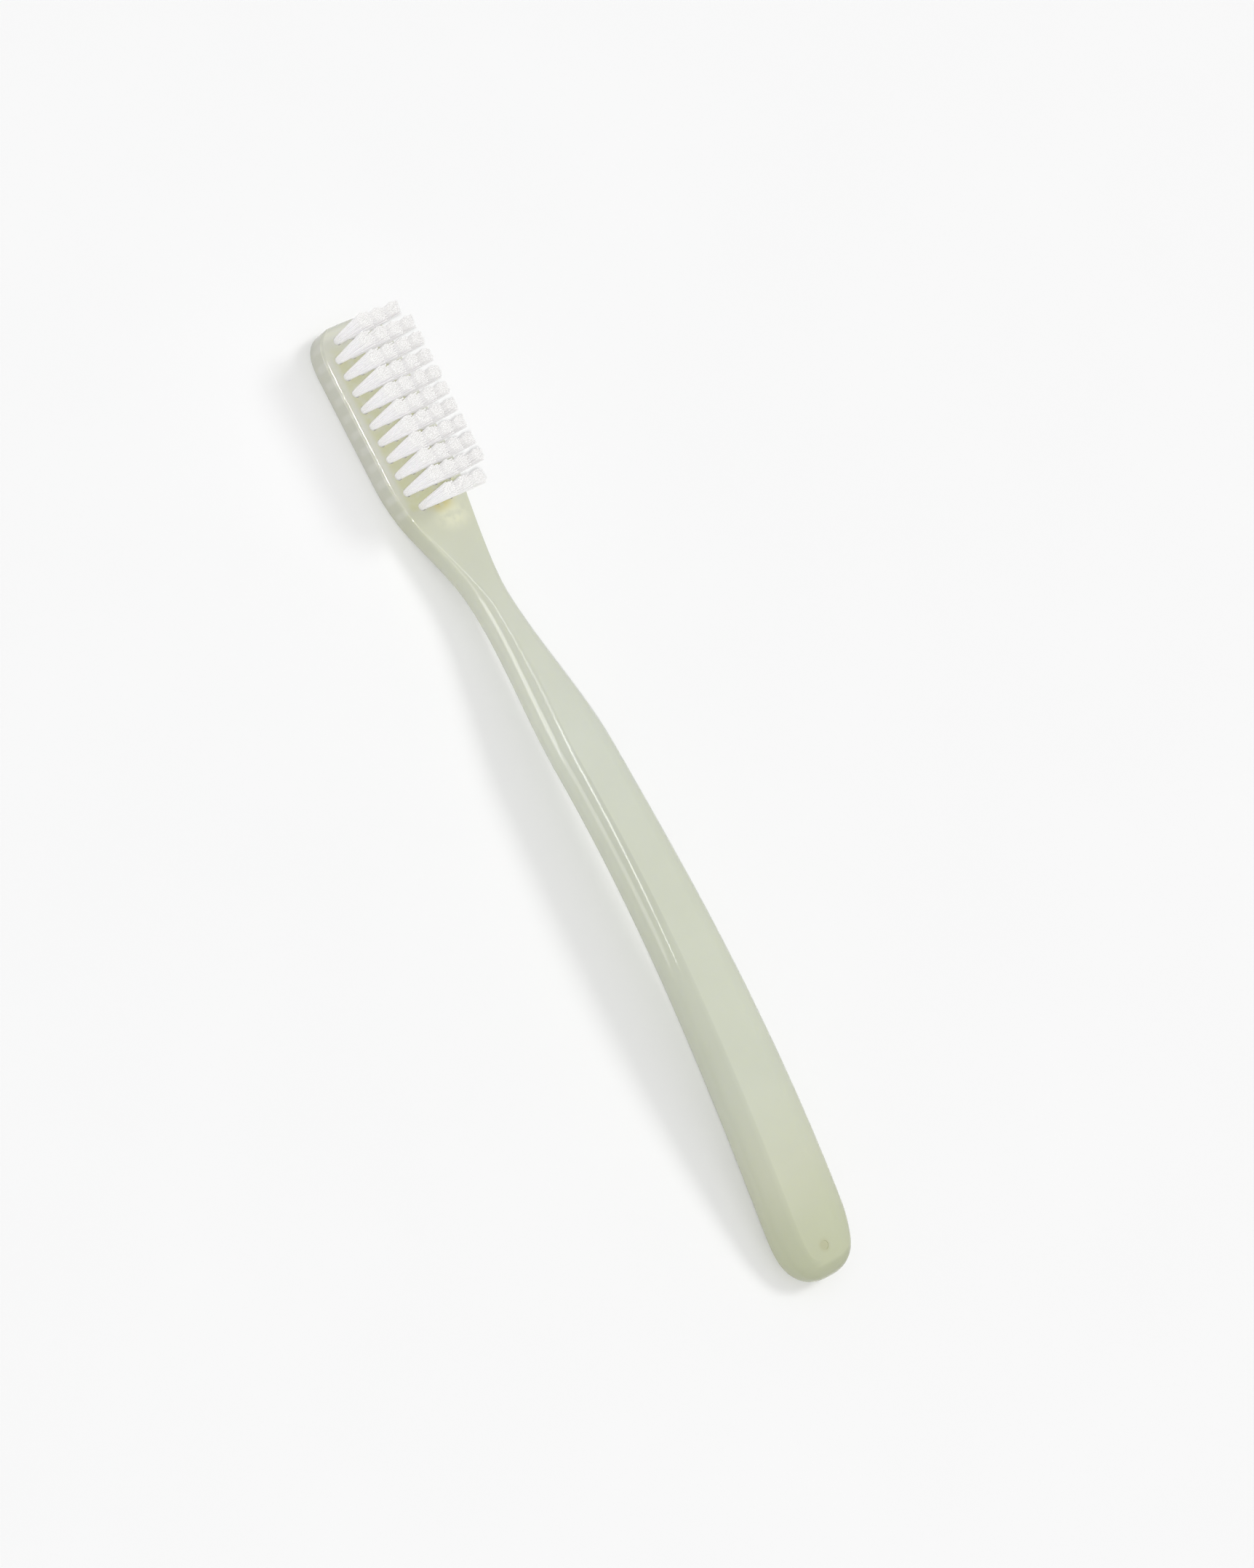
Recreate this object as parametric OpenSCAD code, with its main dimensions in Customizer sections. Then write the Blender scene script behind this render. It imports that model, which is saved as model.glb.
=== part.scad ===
// Manual toothbrush with a one-piece moulded handle, lying on its back.
// X runs from the nose of the head to the tail and Z points up through the bristles.
// The origin lies under the middle of the brush, on the surface that it rests on.
// All sizes are in millimetres. Distances along the brush are counted from the nose.

/* [Handle] */
// Length of the whole brush, from nose to tail
overall_l = 178; // [170:1:195]
// Width of the handle at the shoulder, where the thumb rests
shoulder_w = 11.7; // [10:0.1:13]
// Thickness of the handle at the shoulder
shoulder_t = 5.6; // [5:0.1:7]
// Width of the tail at its widest
tail_w = 15.5; // [13.5:0.1:17]
// Thickness of the grip and the tail
grip_t = 6.2; // [5.5:0.1:8]
// How far the underside of the arched handle stands above the table
arch_h = 7.2; // [4:0.1:9]
// Distance from the end of the tail to where the tail touches the table
tail_rest = 5; // [4:0.5:12]
// Distance from the end of the tail to where its sides stop widening
tail_wide = 8; // [5:0.5:20]
// Length over which the tail rounds off, seen from above
tail_round = 11; // [9:0.5:16]
// Length over which the tail rounds off, seen from the side
tail_drop = 4.5; // [3:0.5:8]

/* [Neck] */
// Width of the neck at its narrowest
neck_w = 6.7; // [5.5:0.1:8]
// Thickness of the neck
neck_t = 5.2; // [4.2:0.1:6]
// Length over which the head draws in to the neck
neck_taper = 24; // [20:1:32]
// Length of the narrow neck
neck_l = 2; // [2:0.5:10]
// Length over which the neck widens to the shoulder
neck_flare = 30; // [20:1:36]

/* [Head] */
// Width of the head
head_w = 14.4; // [13.5:0.1:16]
// Thickness of the head
head_t = 4.8; // [4.5:0.1:6]
// Length of the parallel sides, counted from the nose
head_l = 27.5; // [26:0.5:36]
// Length over which the nose rounds off, seen from above
nose_round = 8; // [6:0.5:10]
// Length over which the nose rounds off, seen from the side
nose_drop = 1.5; // [0.8:0.1:2]

/* [Tufts] */
// Rows of tufts along the head
tuft_rows = 11; // [7:1:11]
// Distance between rows
row_pitch = 3.1; // [2.7:0.05:3.15]
// Distance between tufts in a row
tuft_pitch = 2.95; // [2.7:0.05:3.2]
// Distance from the nose to the first row
first_row = 2.85; // [2.7:0.05:3.2]
// Diameter of each tuft hole
hole_d = 1.5; // [1.3:0.05:1.7]
// Depth of each tuft hole
hole_depth = 3.2; // [2.8:0.1:3.6]
// Length of the bristles above the face of the head
trim_l = 10.5; // [9:0.1:13]
// Width of a tuft across its flared tip
tip_d = 2.6; // [1.8:0.1:2.8]
// Thickness of one strand
strand_t = 0.28; // [0.24:0.01:0.3]
// How unevenly the tips are cut
tip_ragged = 0.35; // [0:0.05:0.6]

/* [Anchors] */
// Width of the metal plate that holds a tuft, longer than the hole is wide
anchor_w = 1.9; // [1.75:0.05:2.1]
// Height of the plate
anchor_h = 1.4; // [1.1:0.05:1.6]
// Thickness of the plate
anchor_t = 0.25; // [0.15:0.05:0.3]
// Thickness of the folded strands under the plate
fold_t = 0.5; // [0.3:0.05:0.7]

/* [Hidden] */
// Overrun of a cut past the face that it opens
over = 0.2;
// Play between pieces that are pressed together on the real brush
fit_gap = 0.02;
// Depth by which strands run down into the packed root of their tuft
strand_sink = 0.4;
// Round gate mark on the face of the tail: diameter, depth and distance from the end
gate_d = 1.6;
gate_depth = 0.12;
gate_x = 5;
// Height over which the underside eases from the arch to the table
rest_ease = 0.25;

// Places along the brush, from the nose
neck_x = head_l + neck_taper;
flare_x = neck_x + neck_l;
shoulder_x = flare_x + neck_flare;
tail_x = overall_l - tail_rest;
tail_round_x = overall_l - tail_round;
last_row = first_row + row_pitch * (tuft_rows - 1);
face_l = last_row + hole_d / 2;
crest_share = 0.25;
crest_x = shoulder_x + crest_share * (tail_x - shoulder_x);

// Rounding of nose and tail: power of the curve seen from above and from the side
nose_powers_shares = [3, 2.2];
tail_powers_shares = [2.5, 2.3];
// Part of the end that stays flat, so that the end closes with a small face
end_share = 0.004;
// Ease with which the arch starts behind the head
arch_start_share = 0.03;

// Powers of the cross-section as [across, upwards]: high values make flat sides and tight edges
head_top_powers_shares = [40, 6];
head_back_powers_shares = [20, 3];
grip_top_powers_shares = [3, 3];
grip_back_powers_shares = [2.6, 2.4];

// Height at which the flat face cuts the rounded section, as a share of its half thickness:
// above 1 the section keeps its full crown
head_face_share = 0.985;
neck_face_share = 1.035;
grip_face_share = 0.96;
head_flat_share = 0.97;
// Narrowest flat left along the crown and the back, as a share of the half width
crown_share = 0.03;

// Counts of rings along the brush and of points round a section
nose_rings = 12;
head_rings = 6;
neck_rings = 32;
grip_rings = 22;
tail_rings = 14;
top_points = 6;
back_points = 6;

// Columns of tufts: the first and last row hold one tuft fewer
full_columns = 4;
function columns(row) = row == 0 || row == tuft_rows - 1 ? full_columns - 1 : full_columns;
tuft_places = [for (row = [0:tuft_rows - 1]) for (col = [0:columns(row) - 1]) [row, col]];

function two_digits(n) = n < 10 ? str("0", n) : str(n);
function tuft_name(place) = str("tuft_r", two_digits(place[0] + 1), "_c", place[1] + 1);
function anchor_name(row) = str("anchors_row_", two_digits(row + 1));

// Colours
sage_plastic = [0.80, 0.83, 0.74];
white_nylon = [0.93, 0.93, 0.92];
brass_plate = [0.78, 0.66, 0.38];

// Smooth step from a to b between two places along the brush
function ease(u) = let (v = max(0, min(1, u))) v * v * (3 - 2 * v);
function blend(x, x0, x1, a, b) = a + (b - a) * ease((x - x0) / (x1 - x0));

// Half width of the brush before its ends are rounded
function side_w(x) =
    x < flare_x ? blend(x, head_l, neck_x, head_w, neck_w) / 2
    : x < shoulder_x ? blend(x, flare_x, shoulder_x, neck_w, shoulder_w) / 2
    : blend(x, shoulder_x, overall_l - tail_wide, shoulder_w, tail_w) / 2;

// Thickness from underside to face
function thick(x) =
    x < flare_x ? blend(x, face_l, neck_x, head_t, neck_t)
    : x < shoulder_x ? blend(x, flare_x, shoulder_x, neck_t, shoulder_t)
    : blend(x, shoulder_x, (shoulder_x + tail_x) / 2, shoulder_t, grip_t);

// Height of the underside: flat under the head, an arch up to the crest, a parabola down to the tail
function rising(u) = sin(90 * u * u * (1 + arch_start_share) / (u + arch_start_share));
function above_table(z) = (z + sqrt(z * z + rest_ease * rest_ease)) / 2;
function under(x) =
    x <= face_l ? 0
    : x < crest_x ? arch_h * rising((x - face_l) / (crest_x - face_l))
    : above_table(arch_h * (1 - pow((x - crest_x) / (tail_x - crest_x), 2)));

// Height of the face, and its slope in degrees
function face_z(x) = under(x) + thick(x);
function face_slope(x) = atan2(face_z(x + gate_d / 2) - face_z(x - gate_d / 2), gate_d);

// Rounding of an end over length l, at distance d from it: 0 at the end and 1 past l
function rounded(d, l, power) =
    d >= l ? 1 : pow(1 - pow((1 - end_share) * (1 - d / l), power), 1 / power);
function end_round(x, k, nose_l, tail_l) =
    rounded(x, nose_l, nose_powers_shares[k]) * rounded(overall_l - x, tail_l, tail_powers_shares[k]);

// Powers and face height along the brush
function between(x, a, b) = [blend(x, head_l, flare_x, a[0], b[0]), blend(x, head_l, flare_x, a[1], b[1])];
function face_share(x) =
    x < neck_x ? blend(x, face_l, neck_x, head_face_share, neck_face_share)
    : blend(x, neck_x, shoulder_x, neck_face_share, grip_face_share);
function flat_share(x) = blend(x, face_l, neck_x, head_flat_share, 1);

// Quarter of a section, from the edge of its flat to the side, as [y, z] from the section's middle
function quarter(w, h, powers, cut, count) = let (
        flat = max(crown_share, pow(max(0, 1 - pow(cut, powers[1])), 1 / powers[0])),
        start = acos(pow(flat, powers[0] / 2))
    ) [for (i = [0:count - 1]) let (a = start * (1 - i / count))
        [w * pow(cos(a), 2 / powers[0]), h * pow(sin(a), 2 / powers[1])]];

// Section at distance x from the nose
function section(x) = let (
        w = side_w(x) * end_round(x, 0, nose_round, tail_round),
        drop = end_round(x, 1, nose_drop, tail_drop),
        half_t = thick(x) / 2,
        mid = under(x) + half_t,
        face = min(1, face_share(x)),
        flat = flat_share(x),
        top = quarter(w, half_t / face * drop, between(x, head_top_powers_shares, grip_top_powers_shares),
            min(1, face / drop), top_points),
        back = quarter(w, half_t / flat * drop, between(x, head_back_powers_shares, grip_back_powers_shares),
            min(1, flat / drop), back_points),
        right = concat(
            [for (p = top) [p[0], mid + p[1]]],
            [[w, mid]],
            [for (i = [back_points - 1:-1:0]) [back[i][0], mid - back[i][1]]]
        ),
        last = len(right) - 1
    ) concat(
        [for (p = right) [x - overall_l / 2, p[0], p[1]]],
        [for (i = [last:-1:0]) [x - overall_l / 2, -right[i][0], right[i][1]]]
    );

function steps(x0, x1, count) = [for (i = [0:count - 1]) x0 + (x1 - x0) * i / count];
ring_x = concat(
    [for (i = [0:nose_rings - 1]) nose_round * (1 - cos(90 * i / nose_rings))],
    steps(nose_round, head_l, head_rings),
    steps(head_l, shoulder_x, neck_rings),
    steps(shoulder_x, tail_round_x, grip_rings),
    [for (i = [tail_rings:-1:0]) overall_l - tail_round * (1 - cos(90 * i / tail_rings))]
);

// Skin over a list of sections that hold the same number of points
module skin(rings) {
    n = len(rings[0]);
    m = len(rings);
    points = [for (ring = rings) for (p = ring) p];
    walls = [for (i = [0:m - 2]) for (j = [0:n - 1]) let (
            a = i * n + j, b = i * n + (j + 1) % n, c = a + n, d = b + n
        ) each [[a, b, c], [b, d, c]]];
    first = [for (j = [n - 1:-1:0]) j];
    last = [for (j = [0:n - 1]) (m - 1) * n + j];
    polyhedron(points, concat(walls, [first, last]), convexity = 6);
}

// Middle of a tuft hole on the face of the head
function tuft_at(place) = [
    first_row + row_pitch * place[0] - overall_l / 2,
    tuft_pitch * (place[1] - (columns(place[0]) - 1) / 2),
    head_t
];

// Plate of an anchor, widened by play on every side but the one it sits on
module plate(play, top_play) {
    translate([-anchor_w / 2 - play, -anchor_t / 2 - play, 0])
        cube([anchor_w + 2 * play, anchor_t + 2 * play, anchor_h + top_play]);
}

// One-piece moulded handle with its blind tuft holes.
// Each hole has the slit that its anchor cuts on the way down.
module handle() {
    color(sage_plastic) difference() {
        skin([for (x = ring_x) section(x)]);
        for (place = tuft_places) translate(tuft_at(place)) {
            translate([0, 0, -hole_depth]) cylinder(d = hole_d, h = hole_depth + over, $fn = 32);
            translate([0, 0, fold_t - hole_depth]) plate(fit_gap, hole_depth - fold_t - anchor_h + over);
        }
        translate([overall_l / 2 - gate_x, 0, face_z(overall_l - gate_x)])
            rotate([0, -face_slope(overall_l - gate_x), 0]) translate([0, 0, -gate_depth])
                cylinder(d = gate_d, h = gate_depth + over, $fn = 32);
    }
}

// Strands of one tuft: an inner and an outer ring that spread towards the trimmed tips
inner_strands = 3;
outer_strands = 8;
inner_ring_share = 0.36;
strand_inset_share = 0.75;
root_ring_r = hole_d / 2 - fit_gap - strand_inset_share * strand_t;
tip_ring_r = (tip_d - strand_t) / 2;
strand_list = concat(
    [for (i = [0:inner_strands - 1]) [360 * i / inner_strands, inner_ring_share]],
    [for (i = [0:outer_strands - 1]) [360 * (i + 0.5) / outer_strands, 1]]
);

module strand(angle, ring, tip_z) {
    half = strand_t / 2;
    corners = [[half, half], [-half, half], [-half, -half], [half, -half]];
    points = concat(
        [for (c = corners) [ring * root_ring_r + c[0], c[1], -strand_sink]],
        [for (c = corners) [ring * tip_ring_r + c[0], c[1], tip_z]]
    );
    faces = concat(
        [[0, 1, 2], [0, 2, 3], [4, 6, 5], [4, 7, 6]],
        [for (i = [0:3]) let (k = (i + 1) % 4) each [[i, i + 4, k], [k, i + 4, k + 4]]]
    );
    rotate(angle) polyhedron(points, faces);
}

// Tuft of nylon strands, folded round its anchor and packed into its hole
module tuft(place) {
    uneven = rands(0, 1, inner_strands + outer_strands, place[0] * full_columns + place[1]);
    color(white_nylon) translate(tuft_at(place)) {
        difference() {
            translate([0, 0, -hole_depth]) cylinder(r = hole_d / 2 - fit_gap, h = hole_depth, $fn = 32);
            translate([0, 0, fold_t - hole_depth]) plate(fit_gap, fit_gap);
        }
        for (i = [0:len(strand_list) - 1])
            strand(strand_list[i][0], strand_list[i][1], trim_l - tip_ragged * uneven[i]);
    }
}

// Metal anchor plates of one row
module anchors(row) {
    color(brass_plate) for (col = [0:columns(row) - 1])
        translate(tuft_at([row, col]) + [0, 0, fold_t - hole_depth]) plate(0, 0);
}

handle();
for (place = tuft_places)
    tuft(place);
for (row = [0:tuft_rows - 1])
    anchors(row);
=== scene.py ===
from math import cos, pi, radians, sin, tan

import bpy
import numpy as np
from mathutils import Matrix, Vector


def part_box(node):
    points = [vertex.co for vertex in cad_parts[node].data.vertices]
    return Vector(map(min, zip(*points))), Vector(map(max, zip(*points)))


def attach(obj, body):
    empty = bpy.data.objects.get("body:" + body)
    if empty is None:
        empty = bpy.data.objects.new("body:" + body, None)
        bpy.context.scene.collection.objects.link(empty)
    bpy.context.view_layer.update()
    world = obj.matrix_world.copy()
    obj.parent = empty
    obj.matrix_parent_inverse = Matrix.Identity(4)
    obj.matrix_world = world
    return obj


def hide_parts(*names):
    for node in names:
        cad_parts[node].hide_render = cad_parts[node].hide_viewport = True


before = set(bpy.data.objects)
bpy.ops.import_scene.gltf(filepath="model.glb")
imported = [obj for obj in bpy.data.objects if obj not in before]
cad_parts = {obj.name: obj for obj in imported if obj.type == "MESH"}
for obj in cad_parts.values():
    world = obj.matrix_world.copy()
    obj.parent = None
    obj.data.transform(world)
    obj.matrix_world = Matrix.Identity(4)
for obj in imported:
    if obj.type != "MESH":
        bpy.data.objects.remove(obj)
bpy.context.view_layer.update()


# Camera
# It stands on the near side of the brush, well above it and a little towards the tail,
# and it is rolled so that the brush lies across the picture from upper left to lower right.
mm = 0.001
picture_w, picture_h = 1724, 2156
camera_distance = 1.1
camera_height_angle = radians(56.5)
camera_tail_angle = radians(4.8)
camera_roll = radians(62.8)
camera_target = Vector((0, 0, 6 * mm))
target_px, target_py = 812.5, 1090.7
px_per_mm = 8.3
sensor_h = 24

toward_camera = Vector((
    cos(camera_height_angle) * sin(camera_tail_angle),
    -cos(camera_height_angle) * cos(camera_tail_angle),
    sin(camera_height_angle),
))
along_brush = (Vector((1, 0, 0)) - toward_camera * toward_camera.x).normalized()
across_brush = toward_camera.cross(along_brush)
picture_right = along_brush * cos(camera_roll) + across_brush * sin(camera_roll)
picture_up = across_brush * cos(camera_roll) - along_brush * sin(camera_roll)

camera_data = bpy.data.cameras.new("camera")
camera_data.sensor_fit = "VERTICAL"
camera_data.sensor_height = sensor_h
camera_data.lens = sensor_h * px_per_mm / mm * camera_distance / picture_h
camera_data.shift_x = (picture_w / 2 - target_px) / picture_h
camera_data.shift_y = (target_py - picture_h / 2) / picture_h
camera = bpy.data.objects.new("camera", camera_data)
bpy.context.scene.collection.objects.link(camera)
camera.matrix_world = Matrix.Translation(camera_target + toward_camera * camera_distance) @ Matrix(
    (picture_right, picture_up, toward_camera)).transposed().to_4x4()
bpy.context.scene.camera = camera
bpy.context.scene.view_settings.view_transform = "Standard"


# Handle
# One piece of milky sage-green plastic, injection moulded in a polished mould. The head is a flat
# bar with tight edges, the neck is crowned, and the arched grip has a flat face with soft edges.
# The blind tuft holes are sunk in the face of the head, and the gate left a mark on the tail.
def linear(hex_colour):
    """Linear colour of an sRGB hex value."""
    shares = [int(hex_colour[i:i + 2], 16) / 255 for i in (1, 3, 5)]
    return [s / 12.92 if s <= 0.04045 else ((s + 0.055) / 1.055) ** 2.4 for s in shares] + [1]


def add_node(tree, kind, inputs=None, **settings):
    """Adds a node with its settings. Each input is set to a value, or linked where a socket is given."""
    node = tree.nodes.new(kind)
    for name, value in settings.items():
        setattr(node, name, value)
    for key, value in (inputs or {}).items():
        if isinstance(value, bpy.types.NodeSocket):
            tree.links.new(value, node.inputs[key])
        else:
            node.inputs[key].default_value = value
    return node


nose_corner, tail_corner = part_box("handle")
overall_l = tail_corner.x - nose_corner.x
shoulder_w, shoulder_t = 11.7 * mm, 5.6 * mm
tail_w, grip_t = 15.5 * mm, 6.2 * mm
arch_h, tail_rest, tail_wide = 7.2 * mm, 5 * mm, 8 * mm
tail_round, tail_drop = 11 * mm, 4.5 * mm
neck_w, neck_t = 6.7 * mm, 5.2 * mm
neck_taper, neck_l, neck_flare = 24 * mm, 2 * mm, 30 * mm
head_w, head_t, head_l = 14.4 * mm, 4.8 * mm, 27.5 * mm
nose_round, nose_drop = 8 * mm, 1.5 * mm
rest_ease = 0.25 * mm
hole_d, hole_depth = 1.5 * mm, 3.2 * mm
gate_d, gate_depth, gate_x = 1.6 * mm, 0.07 * mm, 5 * mm

anchor_w = 1.9 * mm
last_anchor_x = max(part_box(name)[0].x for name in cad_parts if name.startswith("anchors"))
last_row_x = last_anchor_x - nose_corner.x + anchor_w / 2
face_l = last_row_x + hole_d / 2
neck_x = head_l + neck_taper
flare_x = neck_x + neck_l
shoulder_x = flare_x + neck_flare
tail_x = overall_l - tail_rest
crest_share = 0.25
crest_x = shoulder_x + crest_share * (tail_x - shoulder_x)

# Rounding of nose and tail, and of the section as (across, upwards): a high power makes a tight edge
nose_power, nose_drop_power = 3, 2.2
tail_power, tail_drop_power = 2.5, 2.3
head_top_powers, grip_top_powers = (40, 10), (3, 3)
head_back_powers, grip_back_powers = (20, 3), (2.6, 2.4)
# Height at which the flat face, and the flat back, cut the section, as a share of its half thickness
head_face_cut, neck_face_cut, grip_face_cut = 0.985, 1.035, 0.96
head_back_cut, grip_back_cut = 0.97, 1


def blend(x, x0, x1, a, b):
    """Smooth change from a to b between two places along the brush."""
    u = np.clip((x - x0) / (x1 - x0), 0, 1)
    return a + (b - a) * u * u * (3 - 2 * u)


def rounding(distance, length, power):
    """How far an end is open at a distance from it: 0 at the end and 1 past the length."""
    end_share = 0.004
    left = (1 - end_share) * np.maximum(0, 1 - distance / length)
    return np.maximum(0, 1 - left ** power) ** (1 / power)


def handle_under(x):
    """Height of the underside: flat under the head, an arch, and a parabola down to the tail."""
    start_share = 0.03
    u = np.clip((x - face_l) / (crest_x - face_l), 0, 1)
    rise = arch_h * np.sin(pi / 2 * u * u * (1 + start_share) / (u + start_share))
    fall = arch_h * (1 - ((x - crest_x) / (tail_x - crest_x)) ** 2)
    return np.where(x < crest_x, rise, (fall + np.sqrt(fall ** 2 + rest_ease ** 2)) / 2)


def handle_thickness(x):
    """Thickness of the handle, from its back to its face."""
    head = blend(x, face_l, neck_x, head_t, neck_t)
    neck = blend(x, flare_x, shoulder_x, neck_t, shoulder_t)
    grip = blend(x, shoulder_x, (shoulder_x + tail_x) / 2, shoulder_t, grip_t)
    return np.where(x < flare_x, head, np.where(x < shoulder_x, neck, grip))


def handle_half_width(x):
    """Distance from the middle of the handle to its side, before the ends are rounded."""
    head = blend(x, head_l, neck_x, head_w, neck_w)
    neck = blend(x, flare_x, shoulder_x, neck_w, shoulder_w)
    grip = blend(x, shoulder_x, overall_l - tail_wide, shoulder_w, tail_w)
    return np.where(x < flare_x, head, np.where(x < shoulder_x, neck, grip)) / 2


def section_quarter(w, h, across, upwards, cut, count):
    """A quarter of each section, from the edge of its flat to its side: offsets across and upwards."""
    crown_share = 0.03
    flat = np.maximum(crown_share, np.maximum(0, 1 - np.minimum(1, cut) ** upwards) ** (1 / across))
    start = np.arccos(flat ** (across / 2))
    angle = start[:, None] * (1 - np.arange(count + 1) / count)
    y = np.cos(angle) ** (2 / across)[:, None]
    z = np.abs(np.sin(angle)) ** (2 / upwards)[:, None]
    # One more point keeps the flat from shading as if it were round
    inset = 0.02
    y = np.concatenate([flat[:, None] - np.minimum(inset, flat[:, None] / 4), y], 1)
    z = np.concatenate([z[:, :1], z], 1)
    return w[:, None] * y, h[:, None] * z


def head_edge(w, top, count):
    """The same quarter on the head: a narrow sloping band between two tight edges, then the side."""
    band_w, band_slope = 0.6 * mm, radians(20)
    upper_round, lower_round = 0.5 * mm, 0.14 * mm
    full_size = 1 * mm
    inset = 0.1 * mm
    upper = np.linspace(0, band_slope, 6)
    lower = np.linspace(band_slope, pi / 2, 10)
    upper_run, upper_fall = upper_round * np.sin(upper), upper_round * (1 - np.cos(upper))
    lower_run = lower_round * (np.sin(lower) - sin(band_slope))
    lower_fall = lower_round * (cos(band_slope) - np.cos(lower))
    slope_w = band_w - upper_run[-1] - lower_run[-1]
    run = np.concatenate([[-inset], upper_run, upper_run[-1] + slope_w + lower_run])
    fall = np.concatenate([[0], upper_fall, upper_fall[-1] + slope_w * np.tan(band_slope) + lower_fall])
    size = np.minimum(1, np.minimum(w, top) / full_size)[:, None]
    y = w[:, None] - (band_w - run) * size
    z = top[:, None] - fall * size
    wall = np.linspace(1, 0, count + 3 - len(run))[1:]
    return (np.concatenate([y, np.repeat(w[:, None], len(wall), 1)], 1),
            np.concatenate([z, z[:, -1:] * wall], 1))


def handle_rings(x, corner_points):
    """Points of the section at each distance x from the nose, once round."""
    nose_open = rounding(x, nose_round, nose_power)
    w = handle_half_width(x) * nose_open * rounding(overall_l - x, tail_round, tail_power)
    drop = rounding(x, nose_drop, nose_drop_power) * rounding(overall_l - x, tail_drop, tail_drop_power)
    half_t = handle_thickness(x) / 2
    middle = handle_under(x) + half_t
    face = np.where(x < neck_x, blend(x, face_l, neck_x, head_face_cut, neck_face_cut),
                    blend(x, neck_x, shoulder_x, neck_face_cut, grip_face_cut))
    face = np.minimum(1, face)
    back = blend(x, face_l, neck_x, head_back_cut, grip_back_cut)
    across, upwards = (blend(x, head_l, flare_x, *powers)
                       for powers in zip(head_top_powers, grip_top_powers))
    top_y, top_z = section_quarter(w, half_t / face * drop, across, upwards, face / drop, corner_points)
    edge_y, edge_z = head_edge(w, top_z[:, 0], corner_points)
    tight_end = head_l + 7 * mm
    tight = blend(x, head_l, tight_end, 1, 0)[:, None]
    top_y = top_y + (edge_y - top_y) * tight
    top_z = top_z + (edge_z - top_z) * tight
    across, upwards = (blend(x, head_l, flare_x, *powers)
                       for powers in zip(head_back_powers, grip_back_powers))
    back_y, back_z = section_quarter(w, half_t / back * drop, across, upwards, back / drop, corner_points)
    side_y = np.concatenate([top_y, back_y[:, -2::-1]], 1)
    side_z = np.concatenate([middle[:, None] + top_z, middle[:, None] - back_z[:, -2::-1]], 1)
    y = np.concatenate([side_y, -side_y[:, ::-1]], 1)
    z = np.concatenate([side_z, side_z[:, ::-1]], 1)
    return np.stack([np.repeat(x[:, None] + nose_corner.x, y.shape[1], 1), y, z], 2)


def mesh_piece(name, points, faces):
    """A mesh object at the origin, linked to the scene."""
    mesh = bpy.data.meshes.new(name)
    mesh.from_pydata([tuple(p) for p in points], [], faces)
    piece = bpy.data.objects.new(name, mesh)
    bpy.context.scene.collection.objects.link(piece)
    return piece


# Rings are close together where the shape bends, and along the head they stand apart
end_rings, head_rings, neck_rings, grip_rings, corner_points = 25, 8, 120, 90, 34
quarter_turn = np.linspace(0, pi / 2, end_rings)
ring_x = np.concatenate([
    nose_round * (1 - np.cos(quarter_turn[:-1])),
    np.linspace(nose_round, head_l, head_rings)[:-1],
    np.linspace(head_l, shoulder_x, neck_rings)[:-1],
    np.linspace(shoulder_x, overall_l - tail_round, grip_rings)[:-1],
    overall_l - tail_round * (1 - np.cos(quarter_turn[::-1])),
])
rings = handle_rings(ring_x, corner_points)
ring_count, ring_size = rings.shape[:2]
walls = [(i * ring_size + j, i * ring_size + (j + 1) % ring_size,
          (i + 1) * ring_size + (j + 1) % ring_size, (i + 1) * ring_size + j)
         for i in range(ring_count - 1) for j in range(ring_size)]
nose_cap = tuple(reversed(range(ring_size)))
tail_cap = tuple(range((ring_count - 1) * ring_size, ring_count * ring_size))
handle = mesh_piece("moulded_handle", rings.reshape(-1, 3), walls + [nose_cap, tail_cap])

tuft_nodes = sorted(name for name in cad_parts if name.startswith("tuft"))
tuft_places = {}
for name in tuft_nodes:
    low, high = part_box(name)
    tuft_places[name] = Vector(((low.x + high.x) / 2, (low.y + high.y) / 2, head_t))
gate_middle = overall_l - gate_x
gate_z = float(handle_under(gate_middle) + handle_thickness(gate_middle))
gate_rise = (handle_under(gate_middle + gate_d / 2) + handle_thickness(gate_middle + gate_d / 2)
             - handle_under(gate_middle - gate_d / 2) - handle_thickness(gate_middle - gate_d / 2))
hole_marks = mesh_piece("hole_marks", tuft_places.values(), [])
gate_mark = mesh_piece("gate_mark_place", [(gate_middle + nose_corner.x, 0, gate_z)], [])

# The tree sinks round holes at the marks: the blind tuft holes, and the shallow gate mark on the tail
holes_tree = bpy.data.node_groups.new("sink_round_holes", "GeometryNodeTree")
holes_tree.is_modifier = True
for name, kind in (("Geometry", "NodeSocketGeometry"), ("Marks", "NodeSocketObject"),
                   ("Diameter", "NodeSocketFloat"), ("Depth", "NodeSocketFloat"),
                   ("Lean", "NodeSocketFloat"), ("Material", "NodeSocketMaterial")):
    holes_tree.interface.new_socket(name, in_out="INPUT", socket_type=kind)
holes_tree.interface.new_socket("Geometry", in_out="OUTPUT", socket_type="NodeSocketGeometry")
given = add_node(holes_tree, "NodeGroupInput").outputs
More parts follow.
